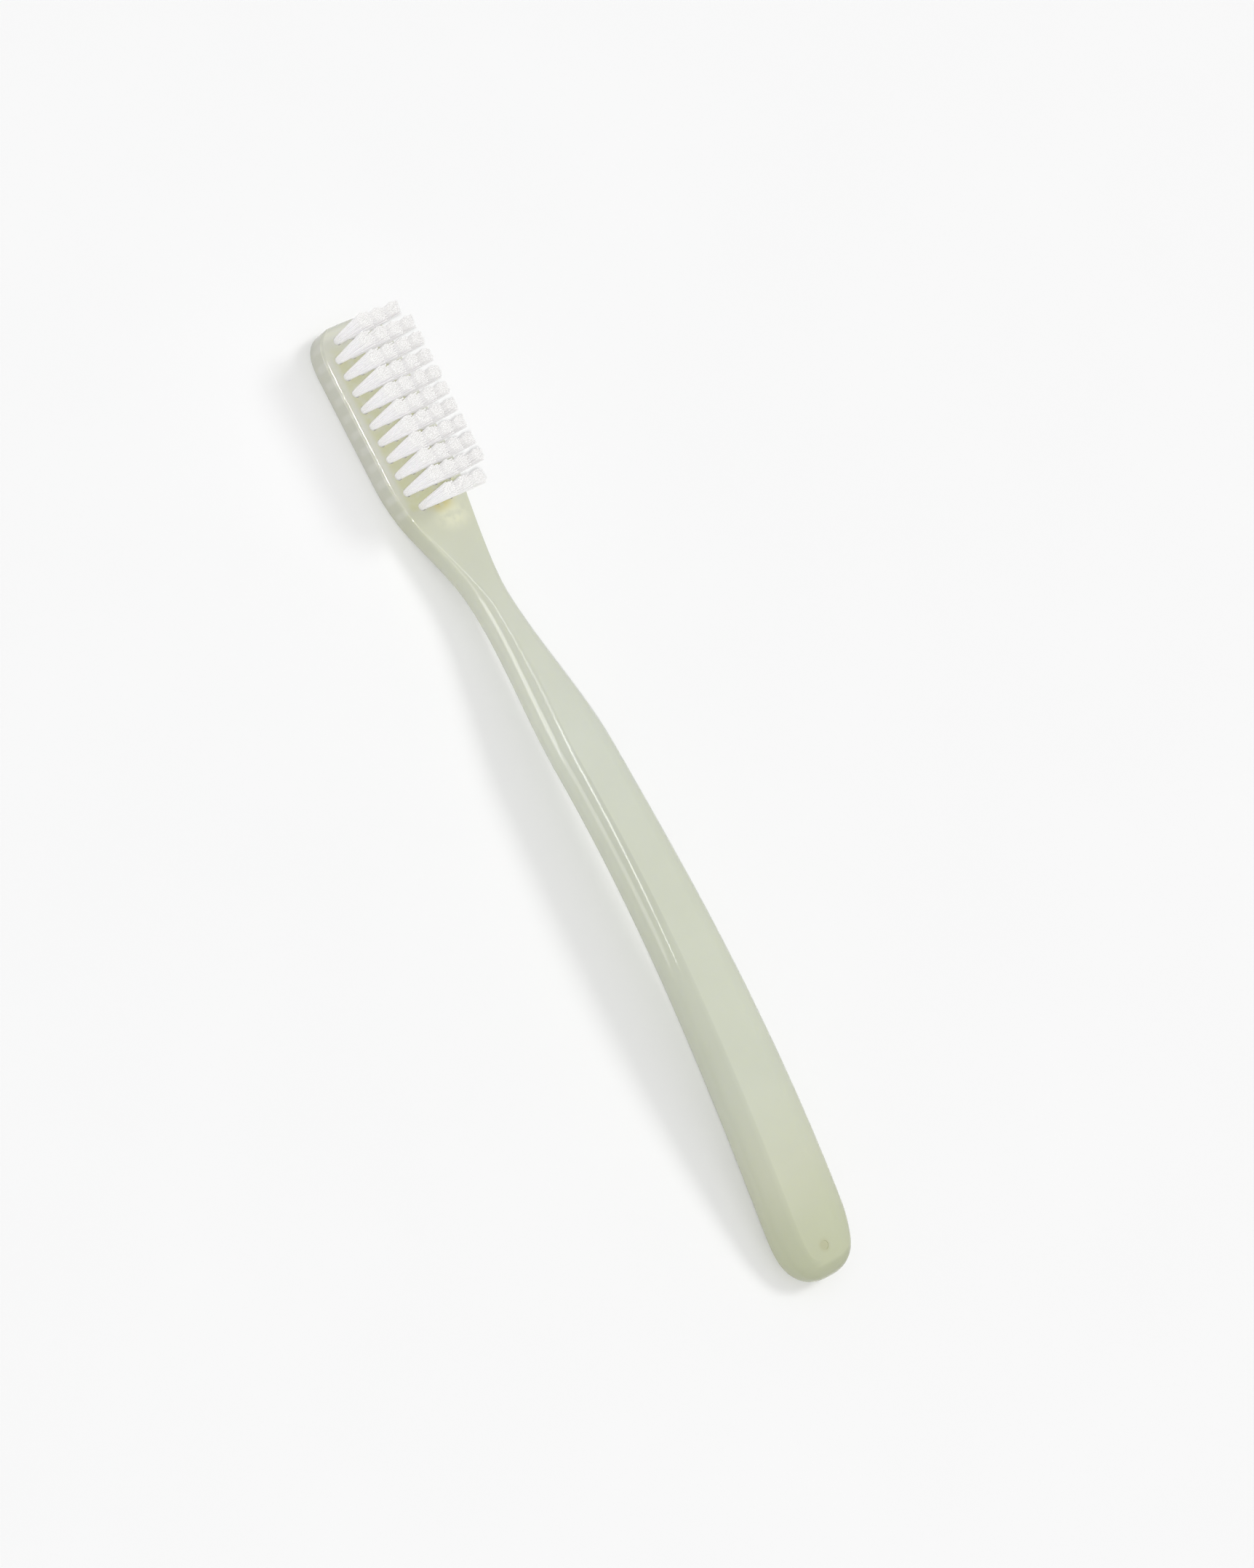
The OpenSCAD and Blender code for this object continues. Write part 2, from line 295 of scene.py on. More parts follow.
# The drill starts a little above the face
overrun = 0.2 * mm
drill_sides = 32
radius = add_node(holes_tree, "ShaderNodeMath", {0: given["Diameter"], 1: 0.5}, operation="MULTIPLY")
height = add_node(holes_tree, "ShaderNodeMath", {0: given["Depth"], 1: overrun}, operation="ADD")
drop = add_node(holes_tree, "ShaderNodeMath", {
    0: height.outputs[0], 1: -0.5, 2: overrun}, operation="MULTIPLY_ADD")
offset = add_node(holes_tree, "ShaderNodeCombineXYZ", {"Z": drop.outputs[0]})
drill = add_node(holes_tree, "GeometryNodeMeshCylinder",
                 {"Vertices": drill_sides, "Radius": radius.outputs[0], "Depth": height.outputs[0]})
sunk = add_node(holes_tree, "GeometryNodeTransform", {
    "Geometry": drill.outputs["Mesh"], "Translation": offset.outputs[0]})
marks = add_node(holes_tree, "GeometryNodeObjectInfo", {"Object": given["Marks"]})
lean = add_node(holes_tree, "ShaderNodeCombineXYZ", {"Y": given["Lean"]})
drills = add_node(holes_tree, "GeometryNodeInstanceOnPoints", {
    "Points": marks.outputs["Geometry"], "Instance": sunk.outputs[0], "Rotation": lean.outputs[0]})
real_drills = add_node(holes_tree, "GeometryNodeRealizeInstances", {"Geometry": drills.outputs[0]})
drilled = add_node(holes_tree, "GeometryNodeMeshBoolean", {
    "Mesh 1": given["Geometry"], "Mesh 2": real_drills.outputs[0]}, operation="DIFFERENCE", solver="EXACT")
real = add_node(holes_tree, "GeometryNodeRealizeInstances", {"Geometry": drilled.outputs["Mesh"]})
finished = add_node(holes_tree, "GeometryNodeSetMaterial", {
    "Geometry": real.outputs[0], "Material": given["Material"]})
add_node(holes_tree, "NodeGroupOutput", {0: finished.outputs[0]})


def set_inputs(modifier, **values):
    """Sets a Geometry Nodes modifier's inputs, found by name, through their identifiers."""
    sockets = {item.name.replace(" ", "_").lower(): item.identifier
               for item in modifier.node_group.interface.items_tree if item.in_out == "INPUT"}
    for name, value in values.items():
        modifier[sockets[name]] = value


sage = bpy.data.materials.new("moulded_milky_plastic")
for marks_object, diameter, depth, lean_angle in (
        (hole_marks, hole_d, hole_depth, 0.0),
        (gate_mark, gate_d, gate_depth, -float(np.arctan2(gate_rise, gate_d)))):
    modifier = handle.modifiers.new("holes", "NODES")
    modifier.node_group = holes_tree
    set_inputs(modifier, marks=marks_object, diameter=diameter, depth=depth, lean=lean_angle, material=sage)


def plain_mesh(piece):
    """Turns the result of a piece's modifiers into its mesh, and removes them."""
    bpy.context.view_layer.update()
    evaluated = piece.evaluated_get(bpy.context.evaluated_depsgraph_get())
    mesh = bpy.data.meshes.new_from_object(evaluated)
    mesh.name = piece.name
    piece.modifiers.clear()
    piece.data = mesh
    return piece


plain_mesh(handle)
handle.data.shade_smooth()
handle.data.set_sharp_from_angle(angle=radians(40))
for marks_object in (hole_marks, gate_mark):
    bpy.data.objects.remove(marks_object)

# How far each corner of a face is turned towards the near side or the tail end, which sets where shade is
# painted on the plastic
corner_normals = np.empty(len(handle.data.loops) * 3, np.float32)
handle.data.corner_normals.foreach_get("vector", corner_normals)
normal_x, normal_y = corner_normals[0::3], corner_normals[1::3]
end_gain, end_start = 1.4, 0.4
turned_aside = handle.data.attributes.new("turned_aside", "FLOAT", "CORNER")
turned_aside.data.foreach_set("value", np.maximum(-normal_y, end_gain * normal_x - end_start))

# Polypropylene with a little green and white pigment, moulded in a polished steel mould. It is
# glossy, so lamps draw sharp lines along its edges, and milky, because light goes a little way in.
sage.use_nodes = True
sage_tree = sage.node_tree
sage_tree.nodes.clear()
place = add_node(sage_tree, "ShaderNodeTexCoord").outputs["Object"]
spot = add_node(sage_tree, "ShaderNodeSeparateXYZ", {0: place}).outputs
half_across = add_node(sage_tree, "ShaderNodeMath", {0: spot["Y"]}, operation="ABSOLUTE").outputs[0]
to_tail = add_node(sage_tree, "ShaderNodeMapRange", {
    "Value": spot["X"], "From Min": nose_corner.x, "From Max": tail_corner.x}).outputs[0]
sideways = add_node(sage_tree, "ShaderNodeAttribute", attribute_name="turned_aside").outputs["Fac"]


def soft_step(value, start, end):
    """0 before the start and 1 past the end of a smooth step, in the plastic's tree."""
    return add_node(sage_tree, "ShaderNodeMapRange", {"Value": value, "From Min": start, "From Max": end},
                    interpolation_type="SMOOTHSTEP").outputs[0]


def times(*values):
    """Product of the values, in the plastic's tree."""
    product = values[0]
    for value in values[1:]:
        product = add_node(sage_tree, "ShaderNodeMath", {0: product, 1: value},
                           operation="MULTIPLY").outputs[0]
    return product


# The milky colour drifts along the handle. Painted shade: the near side and the tail end are painted a
# little deeper than the face, and more at the ends of the brush than at its middle.
tones = add_node(sage_tree, "ShaderNodeValToRGB", {"Fac": to_tail})
painted_side_shade = add_node(sage_tree, "ShaderNodeValToRGB", {"Fac": sideways})
side_shade_depth = add_node(sage_tree, "ShaderNodeValToRGB", {"Fac": to_tail})
tone_stops = [(0, "#D1D2C5"), (0.15, "#D1D2C5"), (0.2, "#C9CBB6"), (0.25, "#CACDBB"), (0.32, "#CDD0C1"),
              (0.45, "#CED2C4"), (0.6, "#CCD0BF"), (0.81, "#CBCFBD"), (0.89, "#CACDB7"), (0.95, "#C1C5AA"),
              (1, "#BEC2A4")]
side_shade_stops = [(0, 1), (0.03, 1), (0.11, 0.93), (0.2, 0.87), (0.4, 0.855), (0.8, 0.85), (1, 0.87)]
shade_depth_stops = [(0, 0.9), (0.16, 0.9), (0.2, 0.65), (0.25, 0.2), (0.32, 0.0), (0.43, 0.05), (0.54, 0.4),
               (0.68, 0.75), (0.74, 0.95), (1, 1)]
for ramp, stops in (
        (tones, [(place_share, linear(tone)) for place_share, tone in tone_stops]),
        (painted_side_shade, [(turn_share, (shade, shade, shade, 1)) for turn_share, shade in side_shade_stops]),
        (side_shade_depth, [(place_share, (depth, depth, depth, 1)) for place_share, depth in shade_depth_stops])):
    elements = ramp.color_ramp.elements
    elements[0].color, elements[1].color = stops[0][1], stops[-1][1]
    for share, colour in stops[1:-1]:
        elements.new(share).color = colour
# Slight cloudiness of the pigment, over a centimetre or so
cloud_size = 9 * mm
cloud = add_node(sage_tree, "ShaderNodeTexNoise", {"Vector": place, "Scale": 1 / cloud_size, "Detail": 2.0})
cloudy = add_node(sage_tree, "ShaderNodeMapRange", {
    "Value": cloud.outputs["Fac"], "To Min": 0.97, "To Max": 1.03}).outputs[0]
clouded = add_node(sage_tree, "ShaderNodeMix", {
    "Factor": 1.0, 6: tones.outputs[0], 7: cloudy}, data_type="RGBA", blend_type="MULTIPLY").outputs[2]
body = add_node(sage_tree, "ShaderNodeMix", {
    "Factor": side_shade_depth.outputs[0], 6: clouded, 7: painted_side_shade.outputs[0]},
    data_type="RGBA", blend_type="MULTIPLY").outputs[2]

# Painted shade: along the soft edges of the neck and the grip the colour is painted a little deeper too
edge_shade_share = 0.085
painted_edge_shade = times(soft_step(sideways, 0.02, 0.12), soft_step(sideways, 0.75, 0.5),
                soft_step(to_tail, 0.15, 0.42), soft_step(to_tail, 0.72, 0.56), edge_shade_share)
# Between the tufts the light comes up through the face in a stronger yellow green
patch_size = 1.6 * mm
green_share = 0.5
face_edge_y, last_tuft_y = 6.0 * mm, 4.6 * mm
first_row = nose_corner.x + 2.85 * mm
last_row = nose_corner.x + last_row_x
patchy = add_node(sage_tree, "ShaderNodeTexNoise", {
    "Vector": place, "Scale": 1 / patch_size, "Detail": 2.0}).outputs["Fac"]
on_face = soft_step(spot["Z"], head_t - 0.4 * mm, head_t - 0.1 * mm)
among_tufts = times(on_face, soft_step(half_across, face_edge_y, last_tuft_y),
                    soft_step(spot["X"], first_row, first_row + 3 * mm),
                    soft_step(spot["X"], last_row + 0.8 * mm, last_row - 0.4 * mm),
                    soft_step(patchy, 0.1, 0.6), green_share)
# Past the last row it leaves a pale patch and, close to the tufts, a yellower one
glow_core = 0.3 * mm
glow_squeeze = (1.0, 0.7, 0.3)
glows = []
for centre_x, centre_y, reach_mm in ((3.4, 1.6, 3.4), (0.3, 0.8, 2.6)):
    centre = (last_row + centre_x * mm, centre_y * mm, head_t)
    away = add_node(sage_tree, "ShaderNodeVectorMath", {0: place, 1: centre}, operation="SUBTRACT")
    squeezed = add_node(sage_tree, "ShaderNodeVectorMath", {
        0: away.outputs[0], 1: glow_squeeze}, operation="MULTIPLY")
    reach_out = add_node(sage_tree, "ShaderNodeVectorMath", {0: squeezed.outputs[0]}, operation="LENGTH")
    glows.append(times(soft_step(reach_out.outputs["Value"], reach_mm * mm, glow_core),
                       soft_step(patchy, 0.15, 0.6), on_face))
pale_glow, yellow_glow = glows
# Each row of tufts shows through the side as a paler blotch
row_pitch = 3.1 * mm
through_share = 0.28
side_from_y, side_to_y = 5.6 * mm, 6.6 * mm
side_from_z, side_to_z = 1.0 * mm, 2.6 * mm
row_wave = add_node(sage_tree, "ShaderNodeMath", {
    0: spot["X"], 1: 2 * pi / row_pitch, 2: -2 * pi * first_row / row_pitch}, operation="MULTIPLY_ADD")
row_share = add_node(sage_tree, "ShaderNodeMath", {0: row_wave.outputs[0]}, operation="COSINE").outputs[0]
through_side = times(soft_step(row_share, -0.3, 1.0), soft_step(spot["X"], last_row + 1 * mm, last_row),
                     soft_step(half_across, side_from_y, side_to_y),
                     soft_step(spot["Z"], side_from_z, side_to_z),
                     soft_step(patchy, 0.0, 0.5), through_share)
# The plastic is a little browner where it was injected
brown_share, brown_reach, brown_core = 0.4, 1.5 * mm, 0.5 * mm
gate_centre = (gate_middle + nose_corner.x, 0, tail_corner.z)
from_gate = add_node(sage_tree, "ShaderNodeVectorMath", {0: place, 1: gate_centre}, operation="SUBTRACT")
level = add_node(sage_tree, "ShaderNodeVectorMath", {
    0: from_gate.outputs[0], 1: (1, 1, 0)}, operation="MULTIPLY")
gate_reach = add_node(sage_tree, "ShaderNodeVectorMath", {0: level.outputs[0]}, operation="LENGTH")
browned = times(soft_step(gate_reach.outputs["Value"], brown_reach, brown_core), brown_share)
# The black tint is the painted shade along the edges
for share, tint in ((painted_edge_shade, "#000000"), (among_tufts, "#C4C58C"), (pale_glow, "#DBDCC3"),
                    (yellow_glow, "#CFC68C"), (through_side, "#E0E0DA"), (browned, "#B2AE86")):
    body = add_node(sage_tree, "ShaderNodeMix", {
        "Factor": share, 6: body, 7: linear(tint)}, data_type="RGBA").outputs[2]

# A polished mould still leaves a faint waviness, 2 mm or so from crest to crest
ripple_size, ripple_depth = 2.2 * mm, 0.05 * mm
ripple = add_node(sage_tree, "ShaderNodeTexNoise", {
    "Vector": place, "Scale": 1 / ripple_size, "Detail": 2.0})
bump = add_node(sage_tree, "ShaderNodeBump", {
    "Height": ripple.outputs["Fac"], "Strength": 0.02, "Distance": ripple_depth})
# Handling has dulled the polish a little, in patches 6 mm or so across
handled_size = 6 * mm
handled = add_node(sage_tree, "ShaderNodeTexNoise", {
    "Vector": place, "Scale": 1 / handled_size, "Detail": 3.0})
polish = add_node(sage_tree, "ShaderNodeMapRange", {
    "Value": handled.outputs["Fac"], "To Min": 0.07, "To Max": 0.1}).outputs[0]
# Light goes a millimetre and a half in, and blue light a little less far
milkiness, light_reach = 0.4, 1.5 * mm
plastic = add_node(sage_tree, "ShaderNodeBsdfPrincipled", {
    "Base Color": body, "Roughness": polish, "IOR": 1.49, "Subsurface Weight": milkiness,
    "Subsurface Radius": (1.0, 1.0, 0.6), "Subsurface Scale": light_reach,
    "Normal": bump.outputs["Normal"]})
add_node(sage_tree, "ShaderNodeOutputMaterial", {"Surface": plastic.outputs["BSDF"]})
handle.data.materials.clear()
handle.data.materials.append(sage)
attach(handle, "root")
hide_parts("handle")


# Anchors
# Small plates cut from flat brass wire. Each is driven into its hole across the fold of a tuft,
# and its ends bite into the plastic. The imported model's own plates stay, and get their metal here.
wire_mark_pitch = 0.05 * mm
wire_mark_depth = 0.002 * mm
# Brass, drawn through a die and cut. It is yellow and satin, with fine bright lines along the wire.
brass = bpy.data.materials.new("drawn_brass_wire")
brass.use_nodes = True
brass.node_tree.nodes.clear()
tree = brass.node_tree
place = add_node(tree, "ShaderNodeTexCoord").outputs["Object"]
# Drawing marks run along the wire, 0.05 mm apart and twenty times as long
stretched = add_node(tree, "ShaderNodeMapping", {"Vector": place, "Scale": (0.05, 1.0, 1.0)})
drawn = add_node(tree, "ShaderNodeTexNoise", {"Vector": stretched.outputs[0], "Scale": 1 / wire_mark_pitch})
tone = add_node(tree, "ShaderNodeMix", {
    "Factor": drawn.outputs["Fac"], 6: linear("#B5904A"), 7: linear("#CDAE6A")}, data_type="RGBA")
dulled = add_node(tree, "ShaderNodeMapRange", {
    "Value": drawn.outputs["Fac"], "To Min": 0.28, "To Max": 0.42}).outputs[0]
bump = add_node(tree, "ShaderNodeBump", {
    "Height": drawn.outputs["Fac"], "Strength": 0.5, "Distance": wire_mark_depth})
metal = add_node(tree, "ShaderNodeBsdfPrincipled", {
    "Base Color": tone.outputs[2], "Metallic": 1.0, "Roughness": dulled, "Normal": bump.outputs["Normal"]})
add_node(tree, "ShaderNodeOutputMaterial", {"Surface": metal.outputs["BSDF"]})
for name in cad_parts:
    if name.startswith("anchors"):
        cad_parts[name].data.materials.clear()
        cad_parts[name].data.materials.append(brass)


# Tufts
# Each is a bundle of 46 legs of white nylon filament: 23 pieces, folded in half under their anchor and
# packed into a hole. Above the face the bundle spreads, and its tips are trimmed level and rounded.
filament_d = 0.175 * mm
filament_pitch = 0.178 * mm
filament_sides = 6
trim_l = 10.49 * mm
fold_t = 0.5 * mm
anchor_h, anchor_t = 1.4 * mm, 0.25 * mm
near_tip_w, far_tip_w = 3.1 * mm, 2.55 * mm
near_ragged, far_ragged, end_ragged = 0.12 * mm, 0.5 * mm, 0.8 * mm
tip_square, near_square_share = 0.9, 0.3
tip_jitter = 0.08 * mm
tuft_lean = 0.1 * mm
# At their real thickness the filaments of a spread tuft are too fine and too far apart to hide what
# is behind it. So each leg is drawn thicker towards its tip, as the bundle widens.
thicker_share = 0.9
tip_narrows, tip_rounds = 0.5, 0.3
spread_power, fan_share, pressed_share = 0.92, 0.16, 0.8
curve_points = 23
fold_share = 0.25

# Nylon, drawn into filaments and cut to length. It is white and a little milky, with a soft sheen
# along each filament, and a tuft of it is soft to the eye because light passes from one to the next.
nylon = bpy.data.materials.new("drawn_nylon_filament")
nylon.use_nodes = True
nylon.node_tree.nodes.clear()
tree = nylon.node_tree
place = add_node(tree, "ShaderNodeTexCoord").outputs["Object"]
# Filaments differ a little in tone, two or so together, and the pattern is stretched along them
tone_size = 0.4 * mm
stretched = add_node(tree, "ShaderNodeMapping", {"Vector": place, "Scale": (1.0, 1.0, 0.08)})
tone = add_node(tree, "ShaderNodeTexNoise", {"Vector": stretched.outputs[0], "Scale": 1 / tone_size})
white = add_node(tree, "ShaderNodeMix", {
    "Factor": tone.outputs["Fac"], 6: linear("#E8E7E8"), 7: linear("#F0EFF0")}, data_type="RGBA")
# Painted shade: the tips are painted a little darker than the lengths, and so are the far tufts
shade_from, shade_to = 0.75, 0.97
near_shade_y, far_shade_y = -3 * mm, 4 * mm
whereabouts = add_node(tree, "ShaderNodeSeparateXYZ", {0: place}).outputs
farther = add_node(tree, "ShaderNodeMapRange", {
    "Value": whereabouts["Y"], "From Min": near_shade_y, "From Max": far_shade_y}).outputs[0]
higher = add_node(tree, "ShaderNodeMapRange", {
    "Value": whereabouts["Z"], "From Min": head_t, "From Max": head_t + trim_l}).outputs[0]
at_tip = add_node(tree, "ShaderNodeMapRange", {
    "Value": whereabouts["Z"], "From Min": head_t + shade_from * trim_l,
    "From Max": head_t + shade_to * trim_l}).outputs[0]
far_share = add_node(tree, "ShaderNodeMath", {0: farther, 1: higher}, operation="MULTIPLY").outputs[0]
tip_and_far_shade = add_node(tree, "ShaderNodeMath", {0: far_share, 1: at_tip}, operation="MAXIMUM").outputs[0]
white = add_node(tree, "ShaderNodeMix", {
    "Factor": tip_and_far_shade, 6: white.outputs[2], 7: linear("#E6E5E4")}, data_type="RGBA")
# Their surface is uneven along them, by a hundredth of a millimetre
groove_depth = 0.01 * mm
sheen = add_node(tree, "ShaderNodeMapRange", {
    "Value": tone.outputs["Fac"], "To Min": 0.38, "To Max": 0.52}).outputs[0]
bump = add_node(tree, "ShaderNodeBump", {
    "Height": tone.outputs["Fac"], "Strength": 0.5, "Distance": groove_depth})
# Light is handed on many times among the filaments. Their own faint glow stands for that, and
# part of the light passes straight on through them.
handed_on, passed_on = 0.17, 0.42
fibre = add_node(tree, "ShaderNodeBsdfPrincipled", {
    "Base Color": white.outputs[2], "Roughness": sheen, "IOR": 1.53, "Normal": bump.outputs["Normal"],
    "Emission Color": white.outputs[2], "Emission Strength": handed_on})
rays = add_node(tree, "ShaderNodeLightPath").outputs
lit = add_node(tree, "ShaderNodeMath", {
    0: rays["Is Shadow Ray"], 1: rays["Is Diffuse Ray"]}, operation="MAXIMUM")
passing = add_node(tree, "ShaderNodeMath", {0: lit.outputs[0], 1: passed_on}, operation="MULTIPLY")
clear = add_node(tree, "ShaderNodeBsdfTransparent")
milky = add_node(tree, "ShaderNodeMixShader", {
    0: passing.outputs[0], 1: fibre.outputs[0], 2: clear.outputs[0]})
add_node(tree, "ShaderNodeOutputMaterial", {"Surface": milky.outputs[0]})

tuft_tree = bpy.data.node_groups.new("folded_tuft", "GeometryNodeTree")
tuft_tree.is_modifier = True
for name, kind in (("Geometry", "NodeSocketGeometry"), ("Hole Diameter", "NodeSocketFloat"),
                   ("Hole Depth", "NodeSocketFloat"), ("Fold Thickness", "NodeSocketFloat"),
                   ("Anchor Height", "NodeSocketFloat"), ("Anchor Thickness", "NodeSocketFloat"),
                   ("Filament Diameter", "NodeSocketFloat"), ("Filament Pitch", "NodeSocketFloat"),
                   ("Trim Length", "NodeSocketFloat"), ("Tip Diameter", "NodeSocketFloat"),
                   ("Squareness", "NodeSocketFloat"), ("Lean", "NodeSocketVector"),
                   ("Ragged", "NodeSocketFloat"), ("Jitter", "NodeSocketFloat"),
                   ("Seed", "NodeSocketInt"), ("Place", "NodeSocketVector"),
                   ("Material", "NodeSocketMaterial")):
    tuft_tree.interface.new_socket(name, in_out="INPUT", socket_type=kind)
tuft_tree.interface.new_socket("Geometry", in_out="OUTPUT", socket_type="NodeSocketGeometry")
given = add_node(tuft_tree, "NodeGroupInput").outputs


def maths(operation, *values):
    """One step of arithmetic in the tuft's tree."""
    return add_node(tuft_tree, "ShaderNodeMath", dict(enumerate(values)), operation=operation).outputs[0]


# Middles of the folded pairs of legs, in closest packing over half of the hole. The legs of a pair
# stand a quarter of the pitch to each side of its middle, in the near and the far half.
columns, rows = 9, 5
leg_aside = 0.25
pitch = given["Filament Pitch"]
row_step = maths("MULTIPLY", pitch, sin(pi / 3))
field = add_node(tuft_tree, "GeometryNodeMeshGrid", {
    "Size X": maths("MULTIPLY", pitch, columns - 1.0), "Size Y": maths("MULTIPLY", row_step, rows - 1.0),
    "Vertices X": columns, "Vertices Y": rows})
number = add_node(tuft_tree, "GeometryNodeInputIndex").outputs[0]
row = maths("MODULO", number, float(rows))
shift = maths("MULTIPLY", maths("SUBTRACT", maths("MODULO", row, 2.0), 0.5), maths("MULTIPLY", pitch, 0.5))
lift = maths("MULTIPLY", row_step, (rows - 1) / 2 + 0.5)
nudged = add_node(tuft_tree, "GeometryNodeSetPosition", {
    "Geometry": field.outputs["Mesh"],
    "Offset": add_node(tuft_tree, "ShaderNodeCombineXYZ", {"X": shift, "Y": lift}).outputs[0]})
spot = add_node(tuft_tree, "ShaderNodeSeparateXYZ",
                {0: add_node(tuft_tree, "GeometryNodeInputPosition").outputs[0]}).outputs
reach_x = maths("ADD", maths("ABSOLUTE", spot["X"]), maths("MULTIPLY", pitch, leg_aside))
reach = maths("SQRT", maths("ADD", maths("POWER", reach_x, 2.0), maths("POWER", spot["Y"], 2.0)))
root_r = maths("MULTIPLY", maths("SUBTRACT", given["Hole Diameter"], given["Filament Diameter"]), 0.5)
kept = add_node(tuft_tree, "GeometryNodeDeleteGeometry", {
    "Geometry": nudged.outputs[0], "Selection": maths("GREATER_THAN", reach, root_r)})
pairs = add_node(tuft_tree, "GeometryNodeCaptureAttribute", {"Geometry": kept.outputs[0]})
pairs.capture_items.new("VECTOR", "root")
pairs.capture_items.new("INT", "pair")
tuft_tree.links.new(add_node(tuft_tree, "GeometryNodeInputPosition").outputs[0], pairs.inputs["root"])
tuft_tree.links.new(add_node(tuft_tree, "GeometryNodeInputIndex").outputs[0], pairs.inputs["pair"])

# One thread for each pair, with its share of the way along it
thread = add_node(tuft_tree, "GeometryNodeResampleCurve", {
    "Curve": add_node(tuft_tree, "GeometryNodeCurvePrimitiveLine").outputs[0], "Count": curve_points})
way = add_node(tuft_tree, "GeometryNodeCaptureAttribute", {"Geometry": thread.outputs[0]})
way.capture_items.new("FLOAT", "way")
tuft_tree.links.new(add_node(tuft_tree, "GeometryNodeSplineParameter").outputs["Factor"], way.inputs["way"])
threads = add_node(tuft_tree, "GeometryNodeInstanceOnPoints", {
    "Points": pairs.outputs["Geometry"], "Instance": way.outputs["Geometry"]})
loose = add_node(tuft_tree, "GeometryNodeRealizeInstances", {"Geometry": threads.outputs[0]})

# Which leg a point is on, how far up it, and the same for the rounded last step to the tip
both = maths("MULTIPLY_ADD", way.outputs["way"], 2.0, -1.0)
leg = maths("SIGN", both)
from_fold = maths("ABSOLUTE", both)
upper_leg = maths("GREATER_THAN", leg, 0.0)
last_step = 2 / (curve_points - 1) / (1 - fold_share)
up = maths("DIVIDE", maths("MAXIMUM", maths("SUBTRACT", from_fold, fold_share), 0.0), 1 - fold_share)
tip = maths("GREATER_THAN", up, 1 - last_step / 2)
climb = maths("MINIMUM", maths("DIVIDE", up, 1 - last_step), 1.0)
thread_id = maths("MULTIPLY_ADD", pairs.outputs["pair"], 2.0, upper_leg)


def chance(low, high, step):
    """A number for each leg, different for each use."""
    return add_node(tuft_tree, "FunctionNodeRandomValue", {
        2: low, 3: high, "ID": thread_id, "Seed": maths("ADD", given["Seed"], float(step))}).outputs[1]


root = add_node(tuft_tree, "ShaderNodeSeparateXYZ", {0: pairs.outputs["root"]}).outputs
root_x = maths("MULTIPLY_ADD", leg, maths("MULTIPLY", pitch, leg_aside), root["X"])
root_y = root["Y"]
# Beside the anchor the filaments are pressed outwards
beside = maths("MULTIPLY", maths("ADD", given["Anchor Thickness"], given["Filament Diameter"]), 0.5)
pressed_y = maths("MULTIPLY_ADD", root_y, maths("DIVIDE", maths("SUBTRACT", root_r, beside), root_r), beside)
pressed_x = maths("MULTIPLY", root_x, pressed_share)
anchor_foot = maths("SUBTRACT", given["Fold Thickness"], given["Hole Depth"])
anchor_top = maths("ADD", anchor_foot, given["Anchor Height"])
tip_z = maths("SUBTRACT", given["Trim Length"], maths("MULTIPLY", given["Ragged"], chance(0.0, 1.0, 0)))
rounded_z = maths("MULTIPLY", given["Filament Diameter"], tip_rounds)
leg_height = maths("SUBTRACT", maths("SUBTRACT", tip_z, rounded_z), anchor_foot)
climbed_z = maths("MULTIPLY_ADD", climb, leg_height, anchor_foot)
leg_z = maths("ADD", climbed_z, maths("MULTIPLY", tip, rounded_z))
turn = maths("MULTIPLY", maths("MINIMUM", maths("DIVIDE", from_fold, fold_share), 1.0), pi / 2)
fold_reach = maths("DIVIDE", maths("SUBTRACT", given["Fold Thickness"], given["Filament Diameter"]), root_r)
fold_depth = maths("MULTIPLY", pressed_y, fold_reach)
fold_z = maths("SUBTRACT", anchor_foot, maths("MULTIPLY", fold_depth, maths("COSINE", turn)))
in_fold = maths("LESS_THAN", from_fold, fold_share)
z = add_node(tuft_tree, "ShaderNodeMix", {"Factor": in_fold, 2: leg_z, 3: fold_z}).outputs[0]
free = add_node(tuft_tree, "ShaderNodeMapRange", {
    "Value": z, "From Min": anchor_top, "From Max": 0.0}, interpolation_type="SMOOTHSTEP").outputs[0]
settled_x = add_node(tuft_tree, "ShaderNodeMix", {"Factor": free, 2: pressed_x, 3: root_x}).outputs[0]
settled_y = add_node(tuft_tree, "ShaderNodeMix", {"Factor": free, 2: pressed_y, 3: root_y}).outputs[0]
# Above the face the legs spread towards the tips
height_share = maths("DIVIDE", maths("MAXIMUM", z, 0.0), given["Trim Length"])
spread = maths("POWER", height_share, spread_power)
tip_share = maths("DIVIDE", given["Tip Diameter"], given["Hole Diameter"])
widened = maths("MULTIPLY", maths("SUBTRACT", tip_share, 1.0), spread)
# Each bundle is round at the root. At the tips its far half fans out and is nearly square.
longer = maths("SQRT", maths("ADD", maths("POWER", root_x, 2.0), maths("POWER", root_y, 2.0)))
corner = maths("DIVIDE", longer, maths("MAXIMUM", maths("ABSOLUTE", root_x), maths("ABSOLUTE", root_y)))
far_more = maths("MULTIPLY_ADD", upper_leg, 1 - near_square_share, near_square_share)
square_share = maths("MULTIPLY", given["Squareness"], far_more)
squared = maths("MULTIPLY_ADD", maths("MULTIPLY", maths("SUBTRACT", corner, 1.0), square_share), spread, 1.0)
leaning = add_node(tuft_tree, "ShaderNodeSeparateXYZ", {0: given["Lean"]}).outputs
stray = maths("MULTIPLY", given["Jitter"], spread)
stray_x = maths("MULTIPLY_ADD", stray, chance(-1.0, 1.0, 100), maths("MULTIPLY", leaning["X"], spread))
stray_y = maths("MULTIPLY_ADD", stray, chance(-1.0, 1.0, 200), maths("MULTIPLY", leaning["Y"], spread))
outwards = maths("MULTIPLY", leg, maths("DIVIDE", root_y, root_r))
